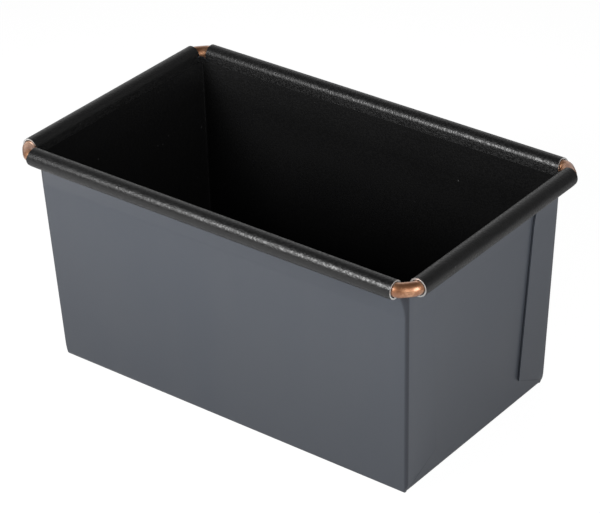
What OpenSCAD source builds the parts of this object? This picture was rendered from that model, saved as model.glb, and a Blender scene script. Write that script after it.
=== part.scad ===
// Open loaf pan, folded from one steel blank with its top edges rolled round a wire.
// Sizes are in millimetres and angles in degrees. Z is up and the long sides run along X.
// The origin is the middle of the underside.

/* [Body] */
// Outside length of the base, at the table
base_l = 135; // [90:1:260]
// Outside width of the base, at the table
base_w = 75.2; // [60:0.1:140]
// Height from the underside to the top of the rim
pan_h = 78.4; // [50:0.1:140]
// Outward lean of all four walls
draft = 2.1; // [0.5:0.1:6]
// Thickness of the steel sheet
sheet_t = 0.5; // [0.4:0.1:1]
// Inside radius of the bends at the base and the corners
bend_in_r = 0.7; // [0.4:0.1:2]
// Thickness of the black non-stick film
film_t = 0.1; // [0.05:0.05:0.2]

/* [Rim] */
// Diameter of the wire in the rim
wire_d = 4.5; // [3:0.1:6.5]
// Clearance all round the wire inside the rolled edge
wire_gap = 0.15; // [0.1:0.05:0.3]
// How far the roll stands clear of the outer face of its wall
rim_step = 0.7; // [0.6:0.1:2]
// Slope, from upright, of the strip between a wall and its roll
kick_a = 40; // [32:1:55]
// Inside radius of the gentle bend where that strip leaves the wall
kick_r = 3.5; // [0.5:0.1:5]
// How far the roll goes on below straight out
lip_a = 150; // [110:5:155]
// Gap along a long side from its roll to the roll of the end wall
long_roll_gap = 1.6; // [1.2:0.1:4]
// Gap across an end from its roll to the roll of the long wall
end_roll_gap = 1; // [0.4:0.1:3]
// How far inside the nearer roll the wire starts to bend round a corner
wire_lead = 0.8; // [0:0.1:1]
// Gap between the two butted ends of the wire, inside the back roll
wire_joint = 0.4; // [0.1:0.1:2]

/* [Corner tabs] */
// Width of a tab at its foot, from the corner of the pan
tab_foot_w = 15.2; // [10:0.1:24]
// Width of a tab at its top
tab_top_w = 13.4; // [8:0.1:22]
// Height of the tab's lower edge at the corner of the pan
tab_corner_z = 1.5; // [1.3:0.1:6]
// Height of the tab's lower edge at its free side
tab_free_z = 8.5; // [6:0.1:16]
// Gap from the top of a tab to the slope of the rim above it
tab_top_gap = 0.2; // [0.1:0.1:1]

/* [Hidden] */
$fn = 96;

// Largest turn between two points of a bend's section
step_a = 6;

end_x = base_l / 2;
side_y = base_w / 2;
lean = tan(draft);
bend_r = bend_in_r + sheet_t;

// The roll is a ring round the wire, seen in section
roll_r = wire_d / 2 + wire_gap + sheet_t;
rim_out = roll_r + rim_step;
roll_z = pan_h - roll_r;
roll_x = end_x + roll_z * lean + rim_out;
roll_y = side_y + roll_z * lean + rim_out;
long_roll_l = 2 * (roll_x - roll_r - long_roll_gap);
end_roll_l = 2 * (roll_y - roll_r - end_roll_gap);

// The wall ends where the sloping strip, tangent to the roll, bends away from it
kick_drop = (kick_r * (1 - cos(kick_a - draft)) + sheet_t - roll_r + rim_out * cos(kick_a))
    / (sin(kick_a) - lean * cos(kick_a));
kick_z = roll_z - kick_drop;
tab_top_z = kick_z - tab_top_gap;

// Centreline radius of the wire's corners
wire_corner_r = roll_r + min(long_roll_gap, end_roll_gap) + wire_lead;

// Longer than the pan, for shapes that are cut back
far = 2 * (base_l + base_w + pan_h);

wall_out = [cos(draft), -sin(draft)];

// Plan angle at which two walls meet at the foot of a corner
mitre_a = 45;

steel = "#626876";
film = "#161617";
roll_black = "#26272a";
copper = "#b9805c";

// How far from the middle the base stays flat, where the wall's foot is at half
function flat_to(half) = half - bend_r * (1 - sin(draft)) / cos(draft);

// Points along an arc, both ends included
function arc(centre, r, from, to) = let (steps = ceil(abs(to - from) / step_a)) [
    for (k = [0:steps]) let (a = from + k * (to - from) / steps) centre + r * [cos(a), sin(a)]
];

function reversed(points) = [for (k = [len(points) - 1:-1:0]) points[k]];

// Section of a wall between two depths below its outer face, from the base bend to the rim
module wall_section(half, near, deep) {
    bend_c = [flat_to(half), bend_r];
    top = [half + kick_z * lean, kick_z];
    outside = concat(arc(bend_c, bend_r - near, -90, -draft), [top - near * wall_out]);
    inside = concat(arc(bend_c, bend_r - deep, -90, -draft), [top - deep * wall_out]);
    polygon(concat(outside, reversed(inside)));
}

// Section of the rim: the bend out of the wall, the sloping strip and the roll
module roll_section(half) {
    kick_c = [half + kick_z * lean, kick_z] + kick_r * wall_out;
    roll_c = [half + roll_z * lean + rim_out, roll_z];
    filmed = concat(
        arc(kick_c, kick_r + sheet_t, 180 - draft, 180 - kick_a),
        arc(roll_c, roll_r, 180 - kick_a, -lip_a)
    );
    bare = concat(
        arc(kick_c, kick_r, 180 - draft, 180 - kick_a),
        arc(roll_c, roll_r - sheet_t, 180 - kick_a, -lip_a)
    );
    polygon(concat(filmed, reversed(bare)));
}

// Lays a section, drawn outward and up, along the back
module along_back(length) {
    rotate([90, 0, 90]) linear_extrude(length, center = true) children();
}

// Lays a section, drawn outward and up, along the right end
module along_right(length) {
    rotate([90, 0, 0]) linear_extrude(length, center = true) children();
}

module both_ways(direction) {
    for (k = [0, 1]) mirror(k * direction) children();
}

// Axes whose Z runs up the outer edge of the back right corner, with the pan at -X and -Y
module corner_frame() {
    translate([end_x, side_y, 0]) rotate([-atan(sin(draft)), draft, 0]) children();
}

// Everything past the upright plane that halves the back right corner
module past_mitre(turn) {
    translate([end_x, side_y, -far / 2]) rotate([0, 0, turn])
        translate([0, -far / 2, 0]) cube(far);
}

// A layer of the back wall: mitred at the foot, and above it stopped at the corner bends
module back_layer(near, deep) {
    difference() {
        along_back(base_l + pan_h) wall_section(side_y, near, deep);
        both_ways([1, 0, 0]) {
            past_mitre(-mitre_a);
            corner_frame() translate([sheet_t - bend_r, -far / 2, tab_corner_z]) cube(far);
        }
    }
}

// A layer of the right end wall, which stops inside the corner bends
module right_layer(near, deep) {
    difference() {
        along_right(base_w + pan_h) wall_section(end_x, near, deep);
        both_ways([0, 1, 0]) {
            past_mitre(180 - mitre_a);
            corner_frame() translate([-far / 2, -bend_r, tab_corner_z]) cube(far);
        }
    }
}

module base_layer(bottom, thick) {
    translate([-flat_to(end_x), -flat_to(side_y), bottom])
        cube([2 * flat_to(end_x), 2 * flat_to(side_y), thick]);
}

// The corner bend and the strip that lies on the end wall, at the back right corner
module corner_tab() {
    bend_c = [sheet_t - bend_r, -bend_r];
    color(steel) corner_frame() {
        translate([0, 0, tab_corner_z]) linear_extrude(tab_top_z - tab_corner_z)
            polygon(concat(arc(bend_c, bend_r, 0, 90), arc(bend_c, bend_in_r, 90, 0)));
        rotate([90, 0, 90]) linear_extrude(sheet_t) polygon([
            [-bend_r, tab_corner_z], [-bend_r, tab_top_z],
            [-tab_top_w, tab_top_z], [-tab_foot_w, tab_free_z]
        ]);
    }
}

module long_roll() {
    color(roll_black) along_back(long_roll_l) roll_section(side_y);
}

module end_roll() {
    color(roll_black) along_right(end_roll_l) roll_section(end_x);
}

module base_panel() {
    color(steel) base_layer(0, sheet_t);
}

module front_wall() {
    color(steel) mirror([0, 1, 0]) back_layer(0, sheet_t);
}

module back_wall() {
    color(steel) back_layer(0, sheet_t);
}

module left_end_wall() {
    color(steel) mirror([1, 0, 0]) right_layer(0, sheet_t);
}

module right_end_wall() {
    color(steel) right_layer(0, sheet_t);
}

module front_left_tab() {
    mirror([1, 0, 0]) mirror([0, 1, 0]) corner_tab();
}

module front_right_tab() {
    mirror([0, 1, 0]) corner_tab();
}

module back_left_tab() {
    mirror([1, 0, 0]) corner_tab();
}

module back_right_tab() {
    corner_tab();
}

module front_roll() {
    mirror([0, 1, 0]) long_roll();
}

module back_roll() {
    long_roll();
}

module left_roll() {
    mirror([1, 0, 0]) end_roll();
}

module right_roll() {
    end_roll();
}

// A quarter of the wire, from the middle of the back, less a gap, to the middle of the right end
module wire_quarter(gap = 0) {
    leg_x = roll_x - wire_corner_r;
    leg_y = roll_y - wire_corner_r;
    translate([leg_x, leg_y, 0]) {
        rotate_extrude(angle = 90) translate([wire_corner_r, 0]) circle(d = wire_d);
        translate([0, wire_corner_r, 0]) rotate([0, -90, 0]) cylinder(h = leg_x - gap, d = wire_d);
        translate([wire_corner_r, 0, 0]) rotate([90, 0, 0]) cylinder(h = leg_y, d = wire_d);
    }
}

// One wire, bent into a rectangle, its two ends butted in the middle of the back roll
module rim_wire() {
    color(copper) translate([0, 0, roll_z]) both_ways([1, 0, 0]) {
        wire_quarter(wire_joint / 2);
        mirror([0, 1, 0]) wire_quarter();
    }
}

// The film on the inside of the base and the walls
module nonstick_film() {
    film_in = sheet_t + film_t;
    color(film) {
        base_layer(sheet_t, film_t);
        both_ways([0, 1, 0]) back_layer(sheet_t, film_in);
        both_ways([1, 0, 0]) right_layer(sheet_t, film_in);
    }
}

base_panel();
front_wall();
back_wall();
left_end_wall();
right_end_wall();
front_left_tab();
front_right_tab();
back_left_tab();
back_right_tab();
front_roll();
back_roll();
left_roll();
right_roll();
rim_wire();
nonstick_film();
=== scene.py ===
import math

import bmesh
import bpy
from mathutils import Matrix, Vector


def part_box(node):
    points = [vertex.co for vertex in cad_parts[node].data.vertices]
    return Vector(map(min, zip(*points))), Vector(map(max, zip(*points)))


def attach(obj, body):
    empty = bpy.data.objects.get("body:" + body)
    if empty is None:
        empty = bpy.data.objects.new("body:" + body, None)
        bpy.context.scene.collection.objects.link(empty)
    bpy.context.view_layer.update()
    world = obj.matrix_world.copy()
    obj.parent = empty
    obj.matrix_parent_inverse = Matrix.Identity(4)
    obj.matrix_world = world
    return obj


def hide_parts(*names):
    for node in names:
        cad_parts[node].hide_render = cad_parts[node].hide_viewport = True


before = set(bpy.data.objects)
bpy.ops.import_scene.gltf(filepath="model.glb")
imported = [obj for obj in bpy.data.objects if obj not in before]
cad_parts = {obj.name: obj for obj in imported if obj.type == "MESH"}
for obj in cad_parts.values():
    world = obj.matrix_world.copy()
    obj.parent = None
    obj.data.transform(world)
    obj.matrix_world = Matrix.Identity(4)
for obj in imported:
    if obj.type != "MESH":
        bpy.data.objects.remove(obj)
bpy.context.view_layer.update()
scene = bpy.context.scene
scene.view_settings.view_transform = "Standard"

# Pieces are modelled in millimetres, walls and rolls at the front of the pan, then turned to their side
# and made metres.
mm = 0.001
quarter = math.radians(90)

sheet = {
    "thick": 0.5,
    "lean": math.radians(2.1),     # of every wall, outwards
    "bend": 1.2,                   # outside radius of the folds
    "bendSteps": 7,
}


def farCorner(node):
    # the right, back and top corner of its box, in millimetres
    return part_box(node)[1] / mm


flat = farCorner("base_panel")
wallTop = farCorner("back_wall").z
slope = math.tan(sheet["lean"])
foldReach = sheet["bend"] * (1 - math.sin(sheet["lean"])) / math.cos(sheet["lean"])
halfLength = flat.x + foldReach
halfWidth = flat.y + foldReach


def cornerX(z):
    return halfLength + z * slope


def cornerY(z):
    return halfWidth + z * slope


# Editing by hand, in code

touch = 0.05                       # a point this close to a place is on it
rowSlack = 0.4                     # and this close to a row's height is in the row
smoothAngle = math.radians(35)     # edges sharper than this stay sharp


def addPlane(name):
    bpy.ops.object.select_all(action="DESELECT")
    bpy.ops.mesh.primitive_plane_add(size=1)
    piece = bpy.context.object
    piece.name = piece.data.name = name
    bpy.ops.object.mode_set(mode="EDIT")
    return piece


def pick(piece, test, kind="VERT"):
    bpy.ops.mesh.select_mode(type=kind)
    bpy.ops.mesh.select_all(action="DESELECT")
    mesh = bmesh.from_edit_mesh(piece.data)
    for part in {"VERT": mesh.verts, "EDGE": mesh.edges, "FACE": mesh.faces}[kind]:
        corners = [part] if kind == "VERT" else part.verts
        part.select = all(test(corner.co) for corner in corners)
    mesh.select_flush_mode()
    bmesh.update_edit_mesh(piece.data)


def near(value, target, slack=touch):
    return abs(value - target) < slack


def fold(angle, centre, axis, steps):
    # spin turns against the right-hand rule
    bpy.ops.mesh.spin(steps=steps, angle=-angle, center=centre, axis=axis)


def cut(point, normal, clear=False):
    away = Vector(normal).normalized()
    bpy.ops.mesh.bisect(plane_co=point, plane_no=away, clear_outer=clear)


def cutAll(point, normal):
    bpy.ops.mesh.select_all(action="SELECT")
    cut(point, normal)


def cutRows(*levels):
    for level in levels:
        cutAll((0, 0, level), (0, 0, 1))


def thicken(piece, thickness):
    bpy.ops.object.mode_set(mode="OBJECT")
    solid = piece.modifiers.new("thickness", "SOLIDIFY")
    solid.thickness = thickness
    solid.offset = -1
    solid.use_even_offset = True
    solid.use_quality_normals = True
    solid.material_offset = 1
    solid.material_offset_rim = 2
    bpy.ops.object.modifier_apply(modifier=solid.name)


def giveSlots(piece, *materials):
    for material in materials:
        piece.data.materials.append(material)


def finishPiece(piece, turn, slot, *nodes):
    bpy.ops.object.select_all(action="DESELECT")
    piece.select_set(True)
    bpy.context.view_layer.objects.active = piece
    piece.data.transform(Matrix.Rotation(turn, 4, "Z") @ Matrix.Scale(mm, 4))
    bpy.ops.object.shade_smooth_by_angle(angle=smoothAngle)
    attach(piece, "root")
    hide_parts(*nodes)
    print("made", piece.name, len(piece.data.polygons), "faces")


# Rolled edges

roll = {
    "radius": 2.9,
    "slope": math.radians(9),      # of the strip between wall and roll, from upright
    "lip": math.radians(150),      # how far the roll goes on below straight out
    "steps": 52,
    "cutBack": 0.27,               # slope of the cut across the left end of a long roll
    "short": {                     # how far the left and right ends stop short of the solid's
        "rightRoll": (0.75, -0.1),
        "leftRoll": (0.35, -0.1),
    },
    "sag": ((0.0, 0.08), (0.9, 0.05), (2.4, 0.015)),   # distance from the end, share it sags
    "sagWithin": 2.5,              # inward of the wire's middle, so that the strip stays in place
}

wireX = farCorner("right_roll").x - roll["radius"]
wireY = farCorner("back_roll").y - roll["radius"]
wireZ = farCorner("back_roll").z - roll["radius"]

# the strip runs straight down from the roll and stops at the height of the walls' top
stripDrop = roll["radius"] * math.sin(roll["slope"]) + wireZ - wallTop
stripFoot = wireY - roll["radius"] * math.cos(roll["slope"]) - stripDrop * math.tan(roll["slope"])


def makeRoll(name, turn, node, halfLong, depth, slanted):
    leftEnd, rightEnd = [halfLong - short for short in roll["short"].get(name, (0, 0))]
    centre = Vector((0, -depth, wireZ))
    inward = Vector((0, math.cos(roll["slope"]), math.sin(roll["slope"])))
    downward = Vector((0, math.sin(roll["slope"]), -math.cos(roll["slope"])))
    high = centre + roll["radius"] * inward
    length = stripDrop / math.cos(roll["slope"])
    piece = addPlane(name)
    bpy.ops.transform.resize(value=(leftEnd + rightEnd, length, 1))
    bpy.ops.object.mode_set(mode="OBJECT")
    stand = Matrix.Rotation(quarter - roll["slope"], 4, "X")
    flip = Matrix.Rotation(math.pi, 4, "Z")
    middle = Vector(((rightEnd - leftEnd) / 2, 0, 0)) + high + length / 2 * downward
    piece.data.transform(Matrix.Translation(middle) @ flip @ stand)
    bpy.ops.object.mode_set(mode="EDIT")
    pick(piece, lambda p: near(p.z, high.z) and near(p.y, high.y), "EDGE")
    fold(math.pi - roll["slope"] + roll["lip"], centre, (1, 0, 0), roll["steps"])
    for hand, end in ((-1, leftEnd), (1, rightEnd)):
        for inset, sag in roll["sag"]:
            at = hand * (end - inset)
            cutAll((at, 0, 0), (1, 0, 0))
            pick(piece, lambda p: near(p.x, at) and p.z < centre.z and p.y < centre.y + roll["sagWithin"])
            bpy.ops.transform.resize(value=(1, 1, 1 + sag), center_override=centre)
    if slanted:
        bpy.ops.mesh.select_all(action="SELECT")
        cut((-leftEnd, 0, centre.z), (-1, 0, roll["cutBack"]), clear=True)
    giveSlots(piece, blackFilm, lacquer, cutSteel)
    thicken(piece, sheet["thick"])
    finishPiece(piece, turn, "filmed_steel", node)


# Walls

flare = {
    "from": 63.0,                  # above this the walls curve outward to meet the rolls
    "rows": 6,
    "power": 1.4,                  # how the curve grows with height
    "creaseWide": 1.6,             # the long walls' flare stops this short of the fold, at the top
    "endWide": 3.5,                # and the end walls' this short of the corner
}
side = {
    "tabOut": 0.75,                # from the outer face of the end wall to that of the tab
    "tabFoot": 15.6,               # tab width at its foot
    "tabTop": 13.4,                # and at its top
    "tabCornerZ": 1.5,             # height of the tab's lower edge at the corner
    "tabFreeZ": 9.1,               # and at its free side
    "tabLift": 0.06,               # how far the free side leans off the end wall at its foot
    "footZ": 4.6,                  # below this the corner rounds in to the end wall
    "footRows": (2.0, 2.5, 3.0, 3.8),   # heights at which its roundness has points
    "footFlat": 1.2,               # at this height it has come in by "footIn"
    "footIn": 0.72,
    "pinch": 0.3,                  # how far the corner is squeezed in under the rim
    "cornerRise": 2.0,             # the fold runs on up behind the wire
    "merge": 0.02,                 # points closer than this are made one
}

# heights of the rows, the first where the flare starts and the last at the wall's top
flareTall = wallTop - flare["from"]
flareRows = [flare["from"] + k * flareTall / flare["rows"] for k in range(flare["rows"] + 1)]

# how far the walls come out at the top, so that their inner face meets the strip
flareOut = stripFoot - (cornerY(wallTop) - sheet["thick"] / math.cos(sheet["lean"]))


def flareShare(z):
    return (z - flare["from"]) / flareTall


def makePanel(name, halfAt, depthAt, reach, flatY):
    # a wall seen from the front, between the folds at its two ends, with the fold at its foot
    piece = addPlane(name)
    low = sheet["bend"] * (1 - math.sin(sheet["lean"]))
    slant = (wallTop - low) / math.cos(sheet["lean"])
    bpy.ops.transform.resize(value=(2 * (halfAt(low) - reach), slant, 1))
    pick(piece, lambda p: p.y > 0)
    bpy.ops.transform.resize(value=((halfAt(wallTop) - reach) / (halfAt(low) - reach), 1, 1))
    bpy.ops.object.mode_set(mode="OBJECT")
    middle = (low + wallTop) / 2
    stand = Matrix.Rotation(quarter + sheet["lean"], 4, "X")
    piece.data.transform(Matrix.Translation((0, -depthAt(middle), middle)) @ stand)
    bpy.ops.object.mode_set(mode="EDIT")
    pick(piece, lambda p: near(p.z, low), "EDGE")
    fold(quarter - sheet["lean"], (0, -flatY, sheet["bend"]), (1, 0, 0), sheet["bendSteps"])
    return piece


def flareWall(piece, test, x, y):
    # moves the rows near the rim outward, further and further up
    for z in flareRows[1:]:
        pick(piece, lambda p: near(p.z, z, rowSlack) and test(p))
        out = flareOut * flareShare(z) ** flare["power"]
        bpy.ops.transform.translate(value=(x * out, y * out, 0))


def pinchCorner(piece, hand, foldX, foldY):
    # under the rim the fold is squeezed in, which deepens the dark V beside it
    def onFold(p, z):
        return near(p.z, z, rowSlack) and hand * p.x > foldX(z) - touch and p.y < touch - foldY(z)
    for z in flareRows[1:]:
        pick(piece, lambda p: onFold(p, z))
        kept = 1 - side["pinch"] / foldReach * flareShare(z)
        bpy.ops.transform.resize(value=(1, kept, 1), center_override=(0, -foldY(z), z))
    # the last row, at the top, is still selected
    bpy.ops.transform.translate(value=(0, 0, side["cornerRise"]))


def shapeTab(piece, hand, foldX, foldY):
    # the tab's free side leans away from the corner and off the end wall towards its foot
    mesh = bmesh.from_edit_mesh(piece.data)
    freeY = side["tabTop"] - foldReach - touch
    places = [v.co.copy() for v in mesh.verts]
    free = [p for p in places if hand * p.x > foldX(p.z) and p.y > freeY - foldY(p.z)]
    for place in free:
        down = (wallTop - place.z) / (wallTop - side["tabCornerZ"])
        wider = side["tabFoot"] - side["tabTop"]
        pick(piece, lambda p: (p - place).length < touch)
        bpy.ops.transform.translate(value=(hand * down * side["tabLift"], down * wider, 0))

    def onTab(p):
        return hand * p.x > foldX(p.z) and p.y > -foldY(p.z) - touch
    start = Vector((0, -foldY(0), side["tabCornerZ"]))
    end = Vector((0, side["tabFoot"] - cornerY(0), side["tabFreeZ"]))
    run = end - start
    pick(piece, onTab, "FACE")
    cut(start, (0, run.z, -run.y), clear=True)
    pick(piece, onTab, "FACE")
    cut((0, flare["endWide"] - cornerY(0), 0), (0, 1, slope))
    flareWall(piece, lambda p: onTab(p) and p.y > flare["endWide"] - cornerY(p.z) - touch, hand, 0)


def roundFoot(piece, hand, foldX):
    # the fold's foot comes in to the end wall along a quarter of an ellipse, with the fold's first points,
    # which stand a little out from foldX near the table
    mesh = bmesh.from_edit_mesh(piece.data)
    heights = {round(v.co.z, 2) for v in mesh.verts if hand * v.co.x > foldX(v.co.z) + touch}
    for z in sorted(height for height in heights if height < side["footZ"]):
        share = min(1, (side["footZ"] - z) / (side["footZ"] - side["footFlat"]))
        inward = side["footIn"] * (1 - math.sqrt(1 - share * share))
        pick(piece, lambda p: hand * p.x > foldX(p.z) + touch / 2 and round(p.z, 2) == z)
        kept = 1 - inward / foldReach
        bpy.ops.transform.resize(value=(kept, 1, 1), center_override=(hand * foldX(z), 0, 0))


def makeSide(name, turn, *nodes):
    # a long wall, which runs on round both corners as the tabs on the end walls
    reach = sheet["bend"] - side["tabOut"]
    piece = makePanel(name, cornerX, cornerY, reach, flat.y)

    def foldX(z):
        return cornerX(z) - reach

    def foldY(z):
        return flat.y + z * slope

    def beforeCrease(p):
        return abs(p.x) < foldX(p.z) - flare["creaseWide"] * flareShare(p.z) + touch
    cutRows(side["tabCornerZ"], *side["footRows"], side["footZ"], wallTop / 2, *flareRows[:-1])
    for hand in (-1, 1):
        creaseFoot = (hand * foldX(flare["from"]), 0, flare["from"])
        cutAll(creaseFoot, (hand * flareTall, 0, flare["creaseWide"] - slope * flareTall))
    flareWall(piece, beforeCrease, 0, -1)
    for hand in (-1, 1):
        pick(piece, lambda p: hand * p.x > foldX(p.z) - touch, "EDGE")
        axis = (hand * slope, -slope, 1)
        fold(hand * quarter, (hand * foldX(0), -foldY(0), 0), axis, sheet["bendSteps"])

        def endsFold(p):
            past = hand * p.x > foldX(p.z) + foldReach - touch and p.y > -foldY(p.z) - touch
            return past and p.z > side["tabCornerZ"] - touch
        pick(piece, endsFold, "EDGE")
        bpy.ops.mesh.extrude_edges_move(TRANSFORM_OT_translate={"value": (0, side["tabTop"] - foldReach, 0)})
        shapeTab(piece, hand, foldX, foldY)
        roundFoot(piece, hand, foldX)
        pinchCorner(piece, hand, foldX, foldY)
    bpy.ops.mesh.select_all(action="SELECT")
    bpy.ops.mesh.remove_doubles(threshold=side["merge"])
    giveSlots(piece, lacquer, blackFilm, lacquer)
    thicken(piece, sheet["thick"])
    finishPiece(piece, turn, "lacquered_steel", *nodes)


def makeEnd(name, turn, node):
    piece = makePanel(name, cornerY, cornerX, foldReach, flat.x)
    cutRows(*flareRows[:-1])
    for hand in (-1, 1):
        cutAll((hand * (cornerY(0) - flare["endWide"]), 0, 0), (hand, 0, -slope))
    flareWall(piece, lambda p: abs(p.x) < cornerY(p.z) - flare["endWide"] + touch, 0, -1)
    giveSlots(piece, lacquer, blackFilm, blackFilm)
    thicken(piece, sheet["thick"])
    finishPiece(piece, turn, "lacquered_steel", node)


# The wire

wire = {
    "radius": 2.25,
    "sides": 32,
    "cornerCut": 3.5,              # from the sharp corner to where a leg would turn
    "turn": math.radians(45),      # two of these to a corner
    "bend": 2.6,                   # radius of the middle of a turn
    "bendSteps": 6,
    "joint": 0.2,                  # from the middle of the back to each cut end
    "merge": 0.001,                # points closer than this are made one
}


def makeWire():
    bpy.ops.object.select_all(action="DESELECT")
    bpy.ops.mesh.primitive_circle_add(vertices=wire["sides"], radius=wire["radius"], fill_type="NGON")
    piece = bpy.context.object
    piece.name = piece.data.name = "rimWire"
    place = Vector((wire["joint"], wireY, wireZ))
    heading = Vector((1, 0, 0))
    piece.data.transform(Matrix.Translation(place) @ Matrix.Rotation(quarter, 4, "Y"))
    bpy.ops.object.mode_set(mode="EDIT")
    bpy.ops.mesh.select_all(action="SELECT")

    # straights, each with a turn to the right after it, from the joint to the last leg
    reach = wire["bend"] * math.tan(wire["turn"] / 2)
    corner = wire["cornerCut"] + reach
    across = wire["cornerCut"] * math.sqrt(2) - 2 * reach
    lastLeg = wireX - wire["joint"] - corner
    straights = [lastLeg, across]
    for leg in (2 * wireY, 2 * wireX, 2 * wireY):
        straights += [leg - 2 * corner, across]
    turned = Matrix.Rotation(-wire["turn"], 3, "Z")
    for length in straights:
        bpy.ops.mesh.extrude_region_move(TRANSFORM_OT_translate={"value": heading * length})
        place = place + heading * length
        centre = place + wire["bend"] * Vector((heading.y, -heading.x, 0))
        fold(-wire["turn"], centre, (0, 0, 1), wire["bendSteps"])
        place = centre + turned @ (place - centre)
        heading = turned @ heading
    bpy.ops.mesh.extrude_region_move(TRANSFORM_OT_translate={"value": heading * lastLeg})
    bpy.ops.mesh.select_all(action="SELECT")
    bpy.ops.mesh.remove_doubles(threshold=wire["merge"])
    bpy.ops.mesh.normals_make_consistent(inside=False)
    bpy.ops.object.mode_set(mode="OBJECT")
    giveSlots(piece, copper)
    finishPiece(piece, 0, "copper_plated_wire", "rim_wire")


# The lining

lining = {
    "thick": 0.1,
    "corner": 0.6,                 # radius inside the folds
    "segments": 5,
}


def makeLining():
    inset = (sheet["thick"] + lining["thick"]) / math.cos(sheet["lean"])
    floorZ = sheet["thick"] + lining["thick"]
    bottomX, bottomY = cornerX(floorZ) - inset, cornerY(floorZ) - inset
    topX, topY = cornerX(wallTop) - inset, cornerY(wallTop) - inset
    bpy.ops.object.select_all(action="DESELECT")
    bpy.ops.mesh.primitive_cube_add(size=1)
    piece = bpy.context.object
    piece.name = piece.data.name = "nonstickLining"
    bpy.ops.object.mode_set(mode="EDIT")
    bpy.ops.transform.resize(value=(2 * bottomX, 2 * bottomY, wallTop - floorZ))
    bpy.ops.transform.translate(value=(0, 0, (wallTop + floorZ) / 2))

    def atTop(p):
        return near(p.z, wallTop)
    pick(piece, atTop)
    bpy.ops.transform.resize(value=(topX / bottomX, topY / bottomY, 1), center_override=(0, 0, wallTop))
    pick(piece, atTop, "FACE")
    bpy.ops.mesh.delete(type="FACE")

    # every edge but the four at the top is rounded
    pick(piece, lambda p: True, "EDGE")
    mesh = bmesh.from_edit_mesh(piece.data)
    for edge in mesh.edges:
        if all(atTop(v.co) for v in edge.verts):
            edge.select = False
    bmesh.update_edit_mesh(piece.data)
    bpy.ops.mesh.bevel(offset=lining["corner"], segments=lining["segments"], affect="EDGES")
    cutRows(*flareRows[:-1])
    for hand in (-1, 1):
        cutAll((hand * (cornerX(0) - flare["endWide"]), 0, 0), (hand, 0, -slope))
        cutAll((0, hand * (cornerY(0) - flare["endWide"]), 0), (0, hand, -slope))

    def onWall(along, across, alongCorner, acrossCorner):
        return across > acrossCorner - inset - touch and abs(along) < alongCorner - flare["endWide"] + touch
    for hand in (-1, 1):
        flareWall(piece, lambda p: onWall(p.x, hand * p.y, cornerX(p.z), cornerY(p.z)), 0, hand)
        flareWall(piece, lambda p: onWall(p.y, hand * p.x, cornerY(p.z), cornerX(p.z)), hand, 0)
    bpy.ops.mesh.select_all(action="SELECT")
    bpy.ops.mesh.flip_normals()
    giveSlots(piece, flatFilm, flatFilm, flatFilm)
    thicken(piece, lining["thick"])
    finishPiece(piece, 0, "nonstick_film", "nonstick_film")


# Materials

class Value:
    def __init__(self, paint, socket):
        self.paint, self.socket = paint, socket

    def maths(self, operation, *values):
        return self.paint.node("ShaderNodeMath", {"operation": operation}, dict(enumerate(values)))

    def __add__(self, other):
        return self.maths("ADD", self, other)

    def __sub__(self, other):
        return self.maths("SUBTRACT", self, other)

    def __mul__(self, other):
        return self.maths("MULTIPLY", self, other)

    def __rsub__(self, other):
        return self.maths("SUBTRACT", other, self)

    def __abs__(self):
        return self.maths("ABSOLUTE", self)

    def larger(self, other):
        return self.maths("MAXIMUM", self, other)

    __radd__ = __add__
    __rmul__ = __mul__


class Paint:
    def __init__(self, name, world=None):
        self.material = world or bpy.data.materials.new(name)
        self.material.use_nodes = True
        self.tree = self.material.node_tree
        self.shader = self.tree.nodes["Background" if world else "Principled BSDF"]
        self.place = self.node("ShaderNodeTexCoord", output="Generated" if world else "Object")

    def node(self, kind, settings={}, inputs={}, output=0):
        made = self.tree.nodes.new(kind)
        for name, setting in settings.items():
            setattr(made, name, setting)
        for name, value in inputs.items():
            self.feed(made.inputs[name], value)
        return Value(self, made.outputs[output])

    def feed(self, socket, value):
        if isinstance(value, Value):
            self.tree.links.new(value.socket, socket)
        else:
            socket.default_value = value

    def set(self, **values):
        for name, value in values.items():
            self.feed(self.shader.inputs[name.replace("_", " ")], value)

    def along(self, axis):
        return self.node("ShaderNodeSeparateXYZ", {}, {0: self.place}, axis)

    def stretch(self, x, y, z):
        return self.node("ShaderNodeMapping", {}, {"Vector": self.place, "Scale": (x, y, z)})

    def noise(self, scale, detail, place=None, roughness=0.5):
        settings = {"Vector": place or self.place, "Scale": scale, "Detail": detail, "Roughness": roughness}
        return self.node("ShaderNodeTexNoise", {}, settings)

    def between(self, value, low, high, outLow=0.0, outHigh=1.0):
        ends = {"Value": value, "From Min": low, "From Max": high, "To Min": outLow, "To Max": outHigh}
        return self.node("ShaderNodeMapRange", {"interpolation_type": "SMOOTHSTEP"}, ends)

    def blendColours(self, share, first, second):
        colours = {"Factor": share, 6: first, 7: second}
        return self.node("ShaderNodeMix", {"data_type": "RGBA"}, colours, output=2)

    def bump(self, height, depth, distance):
        return self.node("ShaderNodeBump", {}, {"Height": height, "Strength": depth, "Distance": distance})


shade = {                          # where painted shade darkens the lacquer, in millimetres
    "foldAlong": (-0.1, 0.8),      # fades in past the start of a corner fold, on the long wall
    "foldAcross": (-0.1, 0.3),     # and on the end wall
    "foot": (0.3, 1.0),            # fades out above the table
    "underTab": 0.2,               # middle of the painted shadow line below a tab's lower edge
    "line": (0.1, 0.4),            # and where it fades out on both sides of that
    "lineShare": 0.9,              # how dark it is
    "lineEnds": 1.0,               # how soft it is at its two ends
}


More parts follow.
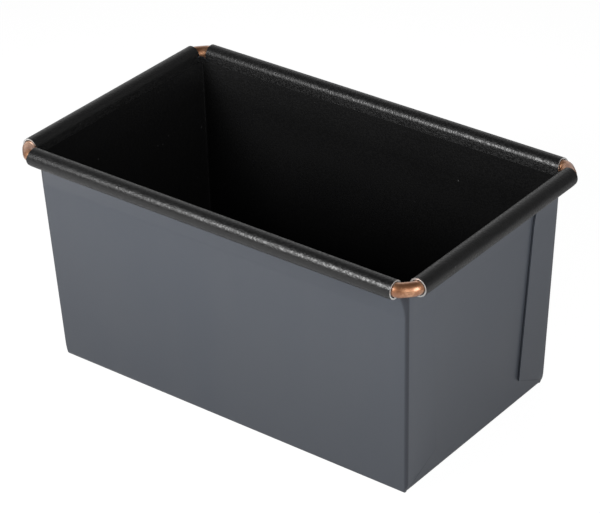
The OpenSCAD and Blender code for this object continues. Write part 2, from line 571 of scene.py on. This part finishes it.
def paintedShadeMask(paint):
    # painted shade: 1 on the folds at the corners and at the foot, in the V where the flare starts, and
    # under a tab's edge
    x, y, z = [paint.along(axis) for axis in "XYZ"]
    widen = paint.between(z, flare["from"] * mm, wallTop * mm, 0, flare["creaseWide"] * mm)
    startX = halfLength - sheet["bend"] + side["tabOut"]
    low, high = [(startX + past) * mm for past in shade["foldAlong"]]
    pastX = paint.between(abs(x) - z * slope + widen, low, high)
    low, high = [(flat.y + past) * mm for past in shade["foldAcross"]]
    pastY = paint.between(abs(y) - z * slope, low, high)
    # painted shade along the foot, fading out above the table
    low, high = [height * mm for height in shade["foot"]]
    foot = paint.between(z, low, high, 1, 0)

    # painted shadow under a tab's lower edge, faded at both ends of the tab
    fromCorner = halfWidth * mm - abs(y)
    rise = (side["tabFreeZ"] - side["tabCornerZ"]) / side["tabFoot"]
    overEdge = z - side["tabCornerZ"] * mm - fromCorner * rise
    low, high = [away * mm for away in shade["line"]]
    line = paint.between(abs(overEdge + shade["underTab"] * mm), low, high, shade["lineShare"], 0)
    ends, free = shade["lineEnds"] * mm, side["tabFoot"] * mm
    starts = paint.between(fromCorner, ends, 2 * ends)
    stops = paint.between(fromCorner, free - ends, free, 1, 0)
    return (pastX * pastY).larger(foot).larger(line * (starts * stops))


lacquerLook = {
    "dull": (0.084, 0.094, 0.113, 1),
    "pale": (0.092, 0.101, 0.118, 1),
    "foot": (0.018, 0.02, 0.026, 1),   # painted shade: the walls darken towards this near the table
    "footShadeShare": 0.24,             # this much at the table
    "footShadeTo": 0.065,               # metres up the wall
    # painted shade colour for the corner folds, the foot and under the tabs
    "paintedShade": (0.04, 0.044, 0.055, 1),
    "tone": (0.35, 0.65),          # of the noise, from dull to pale
    "roughness": 0.27,
    "metallic": 0.35,
    "orangePeel": 0.12,
}


def makeLacquer():
    paint = Paint("lacquer")
    drift = paint.noise(scale=16.0, detail=2.0)
    # streaks run up the walls
    streaks = paint.noise(scale=1.0, detail=3.0, place=paint.stretch(60.0, 60.0, 9.0))
    orangePeel = paint.noise(scale=420.0, detail=1.0)
    tone = paint.between(0.6 * drift + 0.4 * streaks, *lacquerLook["tone"])
    plain = paint.blendColours(tone, lacquerLook["dull"], lacquerLook["pale"])
    # painted shade: the walls darken towards the table
    low = paint.between(paint.along("Z"), 0, lacquerLook["footShadeTo"], lacquerLook["footShadeShare"], 0)
    footShaded = paint.blendColours(low, plain, lacquerLook["foot"])
    # painted shade on the corner folds, the foot and under the tabs goes on last
    paint.set(Base_Color=paint.blendColours(paintedShadeMask(paint), footShaded, lacquerLook["paintedShade"]))
    paint.set(Roughness=lacquerLook["roughness"] + 0.06 * drift + 0.04 * streaks)
    paint.set(Metallic=lacquerLook["metallic"])
    paint.set(Normal=paint.bump(orangePeel, lacquerLook["orangePeel"], 0.03 * mm))
    return paint.material


filmLook = {
    "film": (0.0046, 0.0046, 0.0048, 1),
    "specks": (0.06, 0.06, 0.06, 1),
    "speckSize": (0.05, 0.09),     # where a speck's edge fades, as a share of a cell
    "speckPatches": (0.6, 0.66),   # of the noise, where specks start to show
    "grain": (0.35, 0.65),         # of the noise, from smooth to rough
    "rolls": {"smooth": 0.26, "rough": 0.44, "depth": 0.85},
    "walls": {"smooth": 0.27, "rough": 0.33, "depth": 0.4},
}


def makeFilm(name, smooth, rough, depth):
    paint = Paint(name)
    grain = paint.noise(scale=1900.0, detail=1.0)
    blotch = paint.noise(scale=45.0, detail=3.0)
    cells = {"Vector": paint.place, "Scale": 260.0, "Randomness": 1.0}
    spot = paint.node("ShaderNodeTexVoronoi", {"feature": "F1"}, cells, output="Distance")
    specks = paint.between(spot, *filmLook["speckSize"], 1.0, 0.0)
    here = paint.between(paint.noise(scale=140.0, detail=1.0), *filmLook["speckPatches"])
    paint.set(Base_Color=paint.blendColours(specks * here, filmLook["film"], filmLook["specks"]))
    matt = paint.between(grain, *filmLook["grain"], smooth, rough)
    paint.set(Roughness=matt + 0.06 * blotch)
    paint.set(Normal=paint.bump(grain, depth, 0.1 * mm))
    return paint.material


steelLook = {
    "dull": (0.5, 0.5, 0.49, 1),
    "bright": (0.68, 0.68, 0.67, 1),
    "metallic": 0.5,
}


def makeCutSteel():
    paint = Paint("cut steel")
    scratch = paint.noise(scale=2500.0, detail=2.0)
    base = paint.blendColours(scratch, steelLook["dull"], steelLook["bright"])
    paint.set(Base_Color=base, Metallic=steelLook["metallic"], Roughness=0.3 + 0.2 * scratch)
    return paint.material


copperLook = {
    "plate": (0.38, 0.165, 0.08, 1),
    "worn": (0.68, 0.36, 0.2, 1),
    "wear": (0.42, 0.6),           # of the noise, from plate to worn
    "metallic": 0.9,
    "roughness": 0.42,
    "scuffDepth": 0.35,
    "coatRoughness": 0.2,
}


def makeCopper():
    paint = Paint("copper plate")
    scuff = paint.noise(scale=700.0, detail=4.0, roughness=0.65)
    patch = paint.noise(scale=160.0, detail=3.0)
    worn = paint.between(patch * 0.6 + scuff * 0.4, *copperLook["wear"])
    paint.set(Base_Color=paint.blendColours(worn, copperLook["plate"], copperLook["worn"]))
    paint.set(Metallic=copperLook["metallic"])
    paint.set(Roughness=copperLook["roughness"] - 0.12 * worn + 0.1 * scuff)
    paint.set(Coat_Weight=1.0, Coat_Roughness=copperLook["coatRoughness"])
    paint.set(Normal=paint.bump(scuff, copperLook["scuffDepth"], 0.06 * mm))
    return paint.material


lacquer = makeLacquer()
blackFilm = makeFilm("black film", **filmLook["rolls"])
flatFilm = makeFilm("film on the walls", **filmLook["walls"])
cutSteel = makeCutSteel()
copper = makeCopper()
print("materials done")


# Every piece, in its place

makeSide("frontSide", 0, "front_wall", "front_left_tab", "front_right_tab")
makeSide("backSide", 2 * quarter, "back_wall", "back_left_tab", "back_right_tab")
makeEnd("rightEndWall", quarter, "right_end_wall")
makeEnd("leftEndWall", -quarter, "left_end_wall")
for name, turn, node in (("frontRoll", 0, "front_roll"), ("backRoll", 2 * quarter, "back_roll")):
    makeRoll(name, turn, node, farCorner(node).x, wireY, slanted=True)
for name, turn, node in (("rightRoll", quarter, "right_roll"), ("leftRoll", -quarter, "left_roll")):
    makeRoll(name, turn, node, farCorner(node).y, wireX, slanted=False)
makeWire()
makeLining()
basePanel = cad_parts["base_panel"]
basePanel.data.materials.clear()
basePanel.data.materials.append(lacquer)
print("pieces done")


# Camera, floor and light

camera = {
    "place": (0.4458, -0.5632, 0.4650),
    "yaw": math.radians(38.186),
    "pitch": math.radians(30.519),
    "roll": math.radians(-1.565),
    "picture": (600, 513),         # pixels
    "focal": 2654.0,               # the same
    "centre": (305.6, 256.2),      # pixel that the camera looks at
    "sensor": 36.0,
}


def makeCamera():
    bpy.ops.object.camera_add(location=camera["place"])
    eye = bpy.context.object
    yaw, pitch, tilt = camera["yaw"], camera["pitch"], camera["roll"]
    back = Vector((math.sin(yaw) * math.cos(pitch), -math.cos(yaw) * math.cos(pitch), math.sin(pitch)))
    right = (-back).cross(Vector((0, 0, 1))).normalized()
    up = back.cross(right)
    turned = math.cos(tilt) * right + math.sin(tilt) * up
    upright = math.cos(tilt) * up - math.sin(tilt) * right
    eye.rotation_euler = Matrix((turned, upright, back)).transposed().to_euler()
    wide, high = camera["picture"]
    optics = eye.data
    optics.sensor_width = camera["sensor"]
    optics.lens = camera["focal"] * camera["sensor"] / wide
    optics.shift_x = (wide / 2 - camera["centre"][0]) / wide
    optics.shift_y = (camera["centre"][1] - high / 2) / wide
    scene.camera = eye


ground = {
    "size": 8.0,
    "pale": (0.86, 0.86, 0.86, 1),
    "dim": (0.25, 0.25, 0.25, 1),  # out of the light
    "fade": (0.15, 0.5),           # from one to the other, metres from the pan's middle
    "roughness": 0.9,
    "specular": 0.1,
    "glow": 1.17,                  # of the floor, so that it looks white
    "cameraShare": 0.8,            # the rest is the floor as lit, with the pan's shadow
    "mirrorShare": 0.1,            # the same, seen in the pan's gloss
}


def makeFloor():
    bpy.ops.object.select_all(action="DESELECT")
    bpy.ops.mesh.primitive_plane_add(size=ground["size"])
    floor = bpy.context.object
    floor.name = "floor"
    paint = Paint("pale floor")
    away = paint.node("ShaderNodeVectorMath", {"operation": "LENGTH"}, {0: paint.place}, "Value")
    fade = paint.between(away, *ground["fade"])
    paint.set(Base_Color=paint.blendColours(fade, ground["pale"], ground["dim"]))
    paint.set(Roughness=ground["roughness"], Specular_IOR_Level=ground["specular"])
    seen = paint.node("ShaderNodeLightPath", output="Is Camera Ray")
    glossy = paint.node("ShaderNodeLightPath", output="Is Glossy Ray")
    share = seen * ground["cameraShare"] + glossy * ground["mirrorShare"]
    white = {"Color": (1, 1, 1, 1), "Strength": ground["glow"]}
    glow = paint.node("ShaderNodeEmission", {}, white, "Emission")
    real = Value(paint, paint.shader.outputs[0])
    mixed = paint.node("ShaderNodeMixShader", {}, {0: share, 1: real, 2: glow})
    paint.feed(paint.tree.nodes["Material Output"].inputs["Surface"], mixed)
    floor.data.materials.append(paint.material)


lights = {
    "key": {"place": (-0.18, -0.425, 0.282), "aim": (0, 0, 0.04), "size": 0.17, "power": 2.15},
    "fill": {"place": (0.52, -0.12, 0.22), "aim": (0, 0, 0.04), "size": 0.3, "power": 1.8},
}


def makeLights():
    for name, lamp in lights.items():
        bpy.ops.object.light_add(type="AREA", location=lamp["place"])
        light = bpy.context.object
        light.name = name
        light.data.size = lamp["size"]
        light.data.energy = lamp["power"]
        aim = Vector(lamp["aim"]) - light.location
        light.rotation_euler = aim.to_track_quat("-Z", "Y").to_euler()


backdrop = {
    "towards": (-0.72, 0.69, 0),   # its bright side, behind the pan to the left
    "behind": 0.8,                 # its strength there
    "around": 0.15,                # and elsewhere
    "overhead": 0.06,
    "turn": (0.2, 0.8),            # cosines of the angles to it at which around turns to behind
    "lift": (math.sin(math.radians(26)), math.sin(math.radians(62))),   # and both turn to overhead
}


def makeBackdrop():
    scene.world = bpy.data.worlds.new("studio")
    paint = Paint("studio", scene.world)
    aim = {0: paint.place, 1: backdrop["towards"]}
    towards = paint.node("ShaderNodeVectorMath", {"operation": "DOT_PRODUCT"}, aim, "Value")
    low = paint.between(towards, *backdrop["turn"], backdrop["around"], backdrop["behind"])
    up = paint.between(paint.along("Z"), *backdrop["lift"])
    strength = low * (1 - up) + backdrop["overhead"] * up
    seen = paint.node("ShaderNodeLightPath", output="Is Camera Ray")
    paint.set(Color=(1, 1, 1, 1), Strength=strength * (1 - seen) + seen)


makeCamera()
makeFloor()
makeLights()
makeBackdrop()
print("stage done")

bpy.context.view_layer.update()
